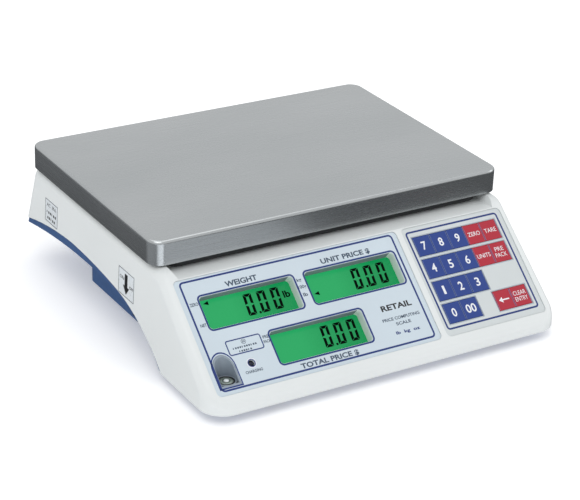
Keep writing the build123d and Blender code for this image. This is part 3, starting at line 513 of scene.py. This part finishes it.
class Print:
    """Flat shapes on one surface, gathered into one thin piece."""

    def __init__(self, place, height, thickness=INK_T, bite=INK_BITE):
        self.mesh = bmesh.new()
        self.place = place
        self.low = height - bite
        self.high = height + thickness

    def level(self, outline, height):
        return [self.mesh.verts.new(self.place @ Vector((x, y, height))) for x, y in outline]

    def wall(self, lower, upper):
        for i in range(len(lower)):
            j = (i + 1) % len(lower)
            self.mesh.faces.new((lower[i], lower[j], upper[j], upper[i]))

    def patch(self, outline):
        """A filled shape."""
        lower = self.level(outline, self.low)
        upper = self.level(outline, self.high)
        self.wall(lower, upper)
        self.mesh.faces.new(upper)
        self.mesh.faces.new(lower[::-1])
        return self

    def ring(self, outer, inner):
        """The band between two outlines that have the same number of points."""
        outer_low = self.level(outer, self.low)
        outer_high = self.level(outer, self.high)
        inner_low = self.level(inner, self.low)
        inner_high = self.level(inner, self.high)
        self.wall(outer_low, outer_high)
        self.wall(outer_high, inner_high)
        self.wall(inner_high, inner_low)
        self.wall(inner_low, outer_low)
        return self

    def frame(self, x0, x1, y0, y1, r, width):
        """Outline of a rounded rectangle, width wide inwards."""
        return self.ring(rounded(x0, x1, y0, y1, r),
                         rounded(x0 + width, x1 - width, y0 + width, y1 - width,
                                 max(r - width, 0.05)))

    def make(self, name, material, body, slot=None):
        bmesh.ops.recalc_face_normals(self.mesh, faces=self.mesh.faces)
        return finish_piece(name, self.mesh, material, body)


def finish_piece(name, mesh, material, body, smooth=False):
    data = bpy.data.meshes.new(name)
    mesh.to_mesh(data)
    mesh.free()
    data.materials.append(material)
    if smooth:
        data.shade_smooth()
    piece = bpy.data.objects.new(name, data)
    bpy.context.scene.collection.objects.link(piece)
    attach(piece, body)
    return piece


def lettering(print_job, text, x0, x1, y0, y1, bold=0.0):
    """Adds a line of text that fills the given rectangle to a print job."""
    curve = bpy.data.curves.new("lettering", "FONT")
    curve.body = text
    curve.offset = bold
    curve.resolution_u = TEXT_STEPS
    curve.extrude = 0.5
    holder = bpy.data.objects.new("lettering", curve)
    bpy.context.scene.collection.objects.link(holder)
    bpy.context.view_layer.update()
    shape = bpy.data.meshes.new_from_object(holder)
    xs = [v.co.x for v in shape.vertices]
    ys = [v.co.y for v in shape.vertices]
    wide = (x1 - x0) / (max(xs) - min(xs))
    tall = (y1 - y0) / (max(ys) - min(ys))
    for v in shape.vertices:
        height = print_job.high if v.co.z > 0 else print_job.low
        flat = Vector((x0 + (v.co.x - min(xs)) * wide, y0 + (v.co.y - min(ys)) * tall, height))
        v.co = print_job.place @ flat
    print_job.mesh.from_mesh(shape)
    bpy.data.objects.remove(holder)
    bpy.data.curves.remove(curve)
    bpy.data.meshes.remove(shape)


# ---- liquid crystal figures ----------------------------------------------------------------
DIGIT_W = 7.2
DIGIT_H = 17.9
DIGIT_PITCH = 11.8
DIGIT_LEAN = 0.06
STROKE = 2.35
STROKE_GAP = 0.35
FIGURES = 3
DOT_RIGHT = 2.6                # decimal point to the right of the first figure
DOT_H = 1.8
POINTER_L = 4.4
POINTER_H = 3.4


def zero(print_job, x, y, width, height, stroke):
    """The six lit segments of a nought, with its lower left corner at (x, y)."""
    half = height / 2
    gap = STROKE_GAP

    def bar(points):
        print_job.patch([(x + px + (py - half) * DIGIT_LEAN, y + py) for px, py in points])

    def flat_bar(low, high, taper_low, taper_high):
        bar([(gap + taper_low, low), (width - gap - taper_low, low),
             (width - gap - taper_high, high), (gap + taper_high, high)])

    def upright(left, low, high, at_end_low, at_end_high):
        outer, inner = (0.0, stroke) if left else (width, width - stroke)
        bar([(outer, low + at_end_low * gap), (outer, high - at_end_high * gap),
             (inner, high - gap - at_end_high * stroke * 0.8 - (1 - at_end_high) * 0.5),
             (inner, low + gap + at_end_low * stroke * 0.8 + (1 - at_end_low) * 0.5)])

    flat_bar(0.0, stroke, 0.0, stroke)
    flat_bar(height - stroke, height, stroke, 0.0)
    for left in (True, False):
        upright(left, half + gap, height, 0, 1)
    for left in (True, False):
        upright(left, 0.0, half - gap, 1, 0)


def amount(print_job, right, low, size=1.0):
    """The reading 0.00, right-aligned at right, standing on low."""
    for i in range(FIGURES):
        x = right - (DIGIT_W + (FIGURES - 1 - i) * DIGIT_PITCH) * size
        zero(print_job, x, low, DIGIT_W * size, DIGIT_H * size, STROKE * size)
    dot_x = right - ((FIGURES - 1) * DIGIT_PITCH - DOT_RIGHT) * size
    print_job.patch(rounded(dot_x - 1.0 * size, dot_x + 0.8 * size, low,
                            low + DOT_H * size, 0.3 * size, 2))


def pointer(print_job, x, y):
    """Small triangle that points left."""
    print_job.patch([(x, y), (x + POINTER_L, y - POINTER_H / 2), (x + POINTER_L, y + POINTER_H / 2)])


# ---- vendor's panel ------------------------------------------------------------------------
def window_of(node):
    """Limits of the window in front of a display node."""
    x0, x1, y0, y1 = panel_box(node)
    return x0 + GLASS_MARGIN, x1 - GLASS_MARGIN, y0 + GLASS_MARGIN, y1 - GLASS_MARGIN


WINDOWS = {name: window_of("display_" + name) for name in ("weight", "unit_price", "total_price")}
OUTLINE_OUT = 1.7              # from a window's edge to the outer edge of its outline
OUTLINE_W = 1.4
WINDOW_R = 4.2
READING_INSET = {"weight": 11.2, "unit_price": 7.6, "total_price": 4.8}
READING_RISE = 6.2
WELL_RIM = 0.5                 # the painted shade on the well's upper wall ends this far below the print

WALL_INSET = 2.6               # the painted shade stops short of the well's round corners
TITLE_BOLD = 0.03
SMALL_BOLD = 0.02


def window_outlines():
    lines = Print(PANEL, FILM_N)
    for x0, x1, y0, y1 in WINDOWS.values():
        lines.frame(x0 - OUTLINE_OUT, x1 + OUTLINE_OUT, y0 - OUTLINE_OUT, y1 + OUTLINE_OUT,
                    WINDOW_R, OUTLINE_W)
    lines.make("window_outlines", NAVY, "base")


def reading(name):
    """Dark segments on the glass of one display."""
    x0, x1, y0, y1 = WINDOWS[name]
    crystal = Print(PANEL, GLASS_N)
    amount(crystal, x1 - READING_INSET[name], y0 + READING_RISE)
    if name == "weight":
        pointer(crystal, x0 + 6.2, y1 - 2.9)
        lettering(crystal, "lb", x1 - 8.4, x1 - 2.4, y0 + 13.8, y0 + 19.6, TITLE_BOLD)
    if name == "unit_price":
        pointer(crystal, x0 + 6.6, y1 - 16.0)
    crystal.make("reading_" + name, SEGMENT, "base")


def paint_well_shade(name):
    """Painted shade: a grey sheet on the upper wall of a display's well, which faces down and falls
    in shade.
    """
    x0, x1, _, top = WINDOWS[name]
    wall = Print(PANEL, GLASS_N, FILM_N - WELL_RIM - GLASS_N)
    wall.patch([(x0 + WALL_INSET, top - 0.05), (x1 - WALL_INSET, top - 0.05),
                (x1 - WALL_INSET, top + 0.02), (x0 + WALL_INSET, top + 0.02)])
    wall.make("paint_well_shade_" + name, WELL_SHADE_GREY, "base")


def display_film_lines():
    lines = Print(PANEL, FILM_N)
    lines.frame(-146.6, 44.6, -121.1, -29.6, 3.6, LINE_W)
    lines.frame(-129.0, -99.0, -95.4, -83.0, 2.0, 0.9)
    lines.make("display_outlines", NAVY, "base")


PANEL_WORDS = [                # text, x0, x1, y0, y1, boldness
    ("WEIGHT", -110.0, -82.4, -41.4, -36.8, TITLE_BOLD),
    ("UNIT PRICE $", -25.0, 20.0, -41.6, -36.6, TITLE_BOLD),
    ("TOTAL PRICE $", -76.8, -25.5, -119.5, -114.6, TITLE_BOLD),
    ("ZERO", -144.2, -137.2, -50.6, -47.9, SMALL_BOLD),
    ("NET", -142.4, -137.2, -68.2, -65.6, SMALL_BOLD),
    ("kg", -51.4, -47.2, -51.4, -47.8, SMALL_BOLD),
    ("100g", -52.4, -45.4, -57.4, -53.8, SMALL_BOLD),
    ("lb", -50.8, -46.9, -63.4, -60.4, SMALL_BOLD),
    ("PRE", -97.6, -92.6, -88.2, -85.7, SMALL_BOLD),
    ("PACK", -98.2, -92.0, -92.0, -89.5, SMALL_BOLD),
    ("CHARGING", -122.2, -107.6, -111.9, -109.6, SMALL_BOLD),
    ("PRICE COMPUTING", 5.0, 39.2, -99.6, -97.0, SMALL_BOLD),
    ("SCALE", 15.4, 29.0, -104.4, -101.8, SMALL_BOLD),
]
CAPACITY_ROWS = [(-124.6, -103.0, -90.2), (-120.4, -107.4, -93.3)]     # x0, x1, y
BLOCK_PITCH = 1.9              # stand-ins for the capacity text, which is left out
EMBLEM = (-114.0, -86.3)


def capacity_plate(words):
    """Rows of plain blocks and a ringed mark in place of the capacity text."""
    for x0, x1, y in CAPACITY_ROWS:
        for k in range(int((x1 - x0) / BLOCK_PITCH)):
            left = x0 + BLOCK_PITCH * k
            width = 1.3 if k % 4 else 0.8
            words.patch(rounded(left, left + width, y - 0.7, y + 0.7, 0.2, 1))
    words.ring(circle(*EMBLEM, 2.0, 24), circle(*EMBLEM, 1.7, 24))
    for k in range(3):
        left = EMBLEM[0] - 1.0 + 0.8 * k
        words.patch(rounded(left, left + 0.4, EMBLEM[1] - 1.0, EMBLEM[1] + 1.0, 0.1, 1))


def display_film_words():
    words = Print(PANEL, FILM_N)
    for text, x0, x1, y0, y1, bold in PANEL_WORDS:
        lettering(words, text, x0, x1, y0, y1, bold)
    capacity_plate(words)
    words.make("display_words", GREY_INK, "base")


def generic_title():
    title = Print(PANEL, FILM_N)
    lettering(title, "RETAIL", 8.0, 36.0, -91.0, -86.2, TITLE_BOLD)
    title.make("title_word", BLACK_INK, "base")
    units = Print(PANEL, FILM_N)
    lettering(units, "lb  kg  oz", 12.0, 34.0, -112.4, -109.0, TITLE_BOLD)
    units.make("units_words", NAVY, "base")


LED_X, LED_Y = -114.5, -104.3
PAINTED_HIGHLIGHT_R = 3.9
LED_RIM_R = 3.3
LED_HOLE_R = 2.62


def led_prints():
    # The white ring outside the navy rim is a painted highlight round the LED.
    halo = Print(PANEL, FILM_N)
    halo.ring(circle(LED_X, LED_Y, PAINTED_HIGHLIGHT_R), circle(LED_X, LED_Y, LED_RIM_R))
    halo.make("led_painted_highlight", WHITE_INK, "base")
    rim = Print(PANEL, FILM_N, 0.08)
    rim.ring(circle(LED_X, LED_Y, LED_RIM_R), circle(LED_X, LED_Y, LED_HOLE_R))
    rim.make("led_rim", NAVY, "base")


def cup_outline(grow, steps=24):
    """Arch round the level's opening, projected from plan onto the panel."""
    low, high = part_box("level_cup")
    half = (high.x - low.x) / 2 / MM
    centre_x = (low.x + high.x) / 2 / MM
    front = low.y / MM - grow
    centre_y = high.y / MM - half
    half += grow
    plan = [(centre_x + half, front), (centre_x + half, centre_y)]
    for i in range(1, steps):
        angle = pi * i / steps
        plan.append((centre_x + half * cos(angle), centre_y + half * sin(angle)))
    plan += [(centre_x - half, centre_y), (centre_x - half, front)]
    origin_y = PANEL.translation.y / MM
    return [(x, (y - origin_y) / PANEL_UP.y) for x, y in plan]


def cup_print():
    arch = Print(PANEL, FILM_N)
    arch.ring(cup_outline(1.35), cup_outline(0.45))
    arch.make("level_outline", NAVY, "base")


# ---- bubble level --------------------------------------------------------------------------
def turned(name, profile, centre, material, body, steps=48):
    """Solid of revolution about a vertical axis, from (radius, height) points.

    The profile ends where it starts, or it starts and ends on the axis.
    """
    mesh = bmesh.new()
    rings = []
    for radius, height in profile:
        if radius < 1e-6:
            rings.append([mesh.verts.new(centre + Vector((0, 0, height * MM)))])
            continue
        rings.append([mesh.verts.new(centre + Vector((radius * MM * cos(2 * pi * i / steps),
                                                      radius * MM * sin(2 * pi * i / steps),
                                                      height * MM))) for i in range(steps)])
    for lower, upper in zip(rings, rings[1:]):
        for i in range(steps):
            j = (i + 1) % steps
            corners = [lower[i % len(lower)], lower[j % len(lower)],
                       upper[j % len(upper)], upper[i % len(upper)]]
            mesh.faces.new(list(dict.fromkeys(corners)))
    bmesh.ops.recalc_face_normals(mesh, faces=mesh.faces)
    return finish_piece(name, mesh, material, body, smooth=True)


# (beyond the vial's edge, height) and (radius, height), both in millimetres
BEZEL = [(-1.5, -0.05), (-1.5, 0.55), (-0.9, 0.8), (-0.1, 0.55), (-0.1, -0.05), (-1.5, -0.05)]
CUP_STEP = [(0.05, -1.2), (0.05, 0.5), (0.35, 0.75), (0.75, 0.5), (0.75, -1.2), (0.05, -1.2)]
RING = [(2.5, 0.2), (2.5, 0.36), (3.0, 0.36), (3.0, 0.2), (2.5, 0.2)]
BUBBLE_DOME = [(0, 0.2), (2.0, 0.2), (2.15, 0.45), (1.7, 0.8), (0.9, 1.0), (0, 1.05)]
BUBBLE_OFF = (0.3, 0.4, 0)     # the bubble isn't quite in the middle


def bubble_level():
    low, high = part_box("level_vial")
    top = Vector(((low.x + high.x) / 2, (low.y + high.y) / 2, high.z))
    radius = (high.x - low.x) / 2 / MM
    liquid_r = radius + BEZEL[0][0]

    def at_edge(profile):
        return [(radius + out, height) for out, height in profile]

    turned("level_bezel", at_edge(BEZEL), top, BLACK_INK, "base")
    turned("level_liquid", [(0, -0.02), (liquid_r, -0.02), (liquid_r, 0.2), (0, 0.3)],
           top, LIQUID, "base")
    turned("level_ring", RING, top, BLACK_INK, "base")
    turned("level_bubble", BUBBLE_DOME, top + Vector(BUBBLE_OFF) * MM, BUBBLE, "base")
    turned("cup_step", at_edge(CUP_STEP), top, SLOTS["cup_grey"], "base")


# ---- keypad --------------------------------------------------------------------------------
KEY_SEAM_W = 0.3
KEY_WORDS = {
    "zero": ("ZERO",), "tare": ("TARE",), "units": ("UNITS",),
    "prepack": ("PRE", "PACK"), "clear": ("CLEAR", "ENTRY"),
}
WORD_SPAN = {"ZERO": 11.8, "TARE": 11.4, "UNITS": 12.8, "PRE": 8.4, "PACK": 11.0,
             "CLEAR": 12.2, "ENTRY": 12.0}
WORD_H = 3.7
WORD_PITCH = 5.2
FIGURE_W = {"1": 2.2, "00": 9.6}
FIGURE_H = 7.4
FIGURE_BOLD = 0.018
WORD_BOLD = 0.002
ARROW = [(-5.0, 0.0), (-1.4, -2.5), (-1.4, -0.55), (5.0, -0.55), (5.0, 0.55), (-1.4, 0.55),
         (-1.4, 2.5)]


def key_body_names():
    return [name for name in frame["bodies"] if name.startswith("key_")]


def key_legend(body):
    x0, x1, y0, y1 = panel_box(body)
    cx, cy = (x0 + x1) / 2, (y0 + y1) / 2
    legend = Print(PANEL, KEY_N, 0.04)
    name = body.removeprefix("key_")
    if name in KEY_WORDS:
        lines = KEY_WORDS[name]
        for i, word in enumerate(lines):
            middle_y = cy + ((len(lines) - 1) / 2 - i) * WORD_PITCH
            half = WORD_SPAN[word] / 2
            lettering(legend, word, cx - half, cx + half,
                      middle_y - WORD_H / 2, middle_y + WORD_H / 2, WORD_BOLD)
    elif name == "back":
        legend.patch([(cx + x, cy + y) for x, y in ARROW])
    else:
        half = FIGURE_W.get(name, 4.3) / 2
        lettering(legend, name, cx - half, cx + half,
                  cy - FIGURE_H / 2, cy + FIGURE_H / 2, FIGURE_BOLD)
    legend.make("legend_" + name, WHITE_INK, body)
    seam = Print(PANEL, KEY_N, 0.03)
    edge = 0.2
    for left in (x0 + edge, x1 - edge - KEY_SEAM_W):
        seam.patch(rounded(left, left + KEY_SEAM_W, y0 + 0.6, y1 - 0.6, 0.1, 1))
    seam.make("seam_" + name, SEAM_INK, body)


def key_runs():
    """Limits of each unbroken run of keys, as (x0, x1, y0, y1)."""
    runs = []
    for box in sorted((panel_box(b) for b in key_body_names()), key=lambda b: (-round(b[3]), b[0])):
        last = runs[-1] if runs else None
        if last and abs(last[2] - box[2]) < 1 and box[0] - last[1] < 1:
            last[1] = box[1]
        else:
            runs.append(list(box))
    return runs


def keypad_prints():
    lines = Print(PANEL, FILM_N)
    lines.frame(56.8, 146.6, -118.8, -31.4, 3.0, LINE_W)
    lines.make("keypad_outline", NAVY, "base")
    edges = Print(PANEL, FILM_N)
    for x0, x1, y0, y1 in key_runs():
        edges.frame(x0 - 1.1, x1 + 1.1, y0 - 1.1, y1 + 1.1, 0.7, 0.7)
    edges.make("key_run_outlines", PALE_INK, "base")


# ---- labels on the left side ---------------------------------------------------------------
LABEL_T = 0.12


def side_u(y):
    """Across the left side, from a place along the row frame's Y in millimetres."""
    return -y


def side_v(z):
    return (z - 8.0) / cos(radians(SIDE_DRAFT))


def side_label(name, y0, y1, z0, z1):
    """Blank sticker with a thin printed outline; returns its print job for more."""
    u0, u1, v0, v1 = side_u(y1), side_u(y0), side_v(z0), side_v(z1)
    sheet = Print(SIDE, 0.0, LABEL_T)
    sheet.patch(rounded(u0, u1, v0, v1, 0.8))
    sheet.make(name + "_sheet", LABEL, "base")
    lines = Print(SIDE, LABEL_T, 0.04)
    lines.frame(u0 + 0.3, u1 - 0.3, v0 + 0.3, v1 - 0.3, 0.6, 0.5)
    return lines, (u0, u1, v0, v1)


def switch_label():
    lines, (u0, u1, v0, v1) = side_label("switch_label", -37.6, -11.0, 44.6, 67.4)
    cu, cv = (u0 + u1) / 2, (v0 + v1) / 2
    lines.patch([(cu - 2.6, v1 - 3.0), (cu + 2.2, v1 - 3.0), (cu + 2.2, cv - 2.0),
                 (cu + 5.2, cv - 2.0), (cu, v0 + 2.6), (cu - 5.2, cv - 2.0), (cu - 2.6, cv - 2.0)])
    lettering(lines, "ON", u0 + 2.4, cu - 3.6, cv + 2.2, cv + 5.0, 0.01)
    lettering(lines, "OFF", cu + 5.4, u1 - 1.4, cv - 1.6, cv + 1.2, 0.01)
    lines.make("switch_label_print", BLACK_INK, "base")


def inlet_label():
    lines, (u0, u1, v0, v1) = side_label("inlet_label", 100.5, 124.5, 50.0, 70.4)
    rows = (("AC", 0.14, 0.42), ("IN", 0.56, 0.82))
    for word, start, end in rows:
        lettering(lines, word, u0 + (u1 - u0) * start, u0 + (u1 - u0) * end, v1 - 6.4, v1 - 3.2)
    for row in range(2):
        y = v1 - 11.4 - 5.0 * row
        for k in range(6 - row):
            left = u0 + 3.2 + 3.1 * k + row * 1.4
            lines.patch(rounded(left, left + (1.9 if (k + row) % 3 else 0.9), y - 1.1, y + 1.1,
                                0.25, 2))
    lines.make("inlet_label_print", BLACK_INK, "base")


# ---- customer's side -----------------------------------------------------------------------
REAR_WINDOWS = {"WEIGHT": 92.0, "UNIT PRICE $": 0.0, "TOTAL PRICE $": -92.0}
REAR_W = 76.0
REAR_H = 22.0
REAR_SIZE = 0.82


def rear_prints():
    lines = Print(BACK, REAR_FILM_N)
    lines.frame(-140.4, 140.4, -15.6, 15.6, 2.2, 0.9)
    crystal = Print(BACK, REAR_FILM_N - REAR_GLASS_DROP)
    words = Print(BACK, REAR_FILM_N)
    for word, cx in REAR_WINDOWS.items():
        lines.frame(cx - REAR_W / 2 - 0.2, cx + REAR_W / 2 + 0.2,
                    -REAR_H / 2 - 0.2, REAR_H / 2 + 0.2, 2.6, 0.9)
        amount(crystal, cx + REAR_W / 2 - 9.0, -DIGIT_H * REAR_SIZE / 2, size=REAR_SIZE)
        half = len(word) * 0.72
        lettering(words, word, cx - half, cx + half, 12.1, 13.9, 0.01)
    lines.make("rear_outlines", NAVY, "base")
    crystal.make("rear_readings", SEGMENT, "base")
    words.make("rear_words", GREY_INK, "base")


# ---- stage ---------------------------------------------------------------------------------
def floor():
    mesh = bmesh.new()
    bmesh.ops.create_grid(mesh, x_segments=24, y_segments=24, size=FLOOR_SIZE)
    data = bpy.data.meshes.new("floor")
    mesh.to_mesh(data)
    mesh.free()
    data.materials.append(floor_paint("floor_paint"))
    piece = bpy.data.objects.new("floor", data)
    bpy.context.scene.collection.objects.link(piece)
    piece.visible_glossy = False


def steel_cards():
    """Cards just below the floor that only gloss can see, like flags in a studio."""
    for level, (name, (x0, x1, y0, y1, glow)) in enumerate(STEEL_CARDS.items()):
        mesh = bmesh.new()
        height = CARD_STEP * level + CARD_DROP
        outline = ((x0, y0), (x1, y0), (x1, y1), (x0, y1))
        mesh.faces.new([mesh.verts.new((x, y, height)) for x, y in outline])
        data = bpy.data.meshes.new("card_" + name)
        mesh.to_mesh(data)
        mesh.free()
        data.materials.append(card_paint("card_" + name, glow))
        card = bpy.data.objects.new("card_" + name, data)
        bpy.context.scene.collection.objects.link(card)
        card.visible_camera = False
        card.visible_diffuse = False
        card.visible_shadow = False
        card.visible_transmission = False


def area_light(name, place, width, height, power):
    light = bpy.data.lights.new(name, "AREA")
    light.shape = "RECTANGLE"
    light.size = width
    light.size_y = height
    light.energy = power
    holder = bpy.data.objects.new(name, light)
    holder.location = place
    holder.rotation_euler = (Vector(LIGHT_AIM) - Vector(place)).to_track_quat("-Z", "Y").to_euler()
    bpy.context.scene.collection.objects.link(holder)
    return holder



def sky():
    """Pale studio all round, darker below the horizon, where only gloss can see it."""
    world = bpy.data.worlds.new("studio")
    bpy.context.scene.world = world
    world.use_nodes = True
    tree = world.node_tree
    backdrop = tree.nodes["Background"]
    direction = tree.nodes.new("ShaderNodeTexCoord")
    split = tree.nodes.new("ShaderNodeSeparateXYZ")
    ramp = tree.nodes.new("ShaderNodeValToRGB")
    tree.links.new(direction.outputs["Generated"], split.inputs["Vector"])
    rise = tree.nodes.new("ShaderNodeMapRange")
    rise.inputs["From Min"].default_value = -1.0
    tree.links.new(split.outputs["Z"], rise.inputs["Value"])
    tree.links.new(rise.outputs["Result"], ramp.inputs["Fac"])
    for stop, position, colour in zip(ramp.color_ramp.elements, HORIZON, (SKY_LOW, SKY_HIGH)):
        stop.position = position
        stop.color = colour
    tree.links.new(ramp.outputs["Color"], backdrop.inputs["Color"])
    backdrop.inputs["Strength"].default_value = SKY_STRENGTH


def lights():
    for name, (place, width, height, power) in LIGHTS.items():
        area_light(name, place, width, height, power)


def camera():
    level = Vector((cos(CAMERA_AZIMUTH), -sin(CAMERA_AZIMUTH), 0))
    ahead = Vector((sin(CAMERA_AZIMUTH) * cos(CAMERA_ELEVATION),
                    cos(CAMERA_AZIMUTH) * cos(CAMERA_ELEVATION), -sin(CAMERA_ELEVATION)))
    upright = level.cross(ahead)
    right = level * cos(CAMERA_ROLL) + upright * sin(CAMERA_ROLL)
    up = upright * cos(CAMERA_ROLL) - level * sin(CAMERA_ROLL)
    turn = Matrix((right, up, -ahead)).transposed().to_4x4()
    lens = bpy.data.cameras.new("camera")
    lens.lens = CAMERA_LENS
    lens.sensor_width = CAMERA_SENSOR
    holder = bpy.data.objects.new("camera", lens)
    holder.matrix_world = Matrix.Translation(CAMERA_TARGET - ahead * CAMERA_DISTANCE) @ turn
    bpy.context.scene.collection.objects.link(holder)
    bpy.context.scene.camera = holder


window_outlines()
for window in WINDOWS:
    reading(window)
    paint_well_shade(window)
display_film_lines()
display_film_words()
generic_title()
led_prints()
cup_print()
bubble_level()
keypad_prints()
for key_body in key_body_names():
    key_legend(key_body)
switch_label()
inlet_label()
rear_prints()
floor()
steel_cards()
sky()
lights()
camera()
bpy.context.scene.view_settings.view_transform = "Standard"
